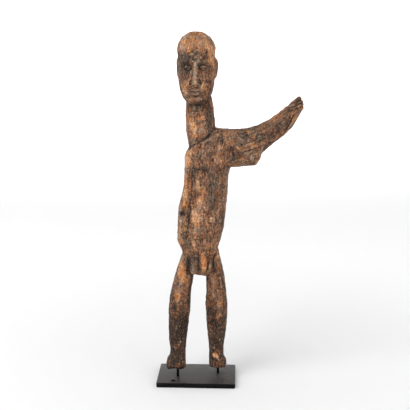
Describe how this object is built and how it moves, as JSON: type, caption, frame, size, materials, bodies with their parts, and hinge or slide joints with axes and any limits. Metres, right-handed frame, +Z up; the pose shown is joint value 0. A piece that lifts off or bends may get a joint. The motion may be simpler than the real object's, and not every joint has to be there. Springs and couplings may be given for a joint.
{
  "type": "carved wooden male figure on a metal stand",
  "caption": "Standing male figure carved in wood, one arm raised to the side and the other held to the body, on two pins in a flat metal plate.",
  "frame": {"origin": "middle of the plate's underside", "axes": "+Z up; the figure faces -Y; its raised left arm points to +X; the plate's long side lies along X"},
  "size_m": [0.1633, 0.06, 0.398],
  "materials": {
    "wood": "weathered brown wood with a crusty dark patina and worn orange patches",
    "plate": "satin black",
    "pins": "satin black"
  },
  "bodies": {
    "root": {"figure": "wood", "base_plate": "plate", "pin_right_foot": "pins", "pin_left_foot": "pins"}
  },
  "joints": []
}
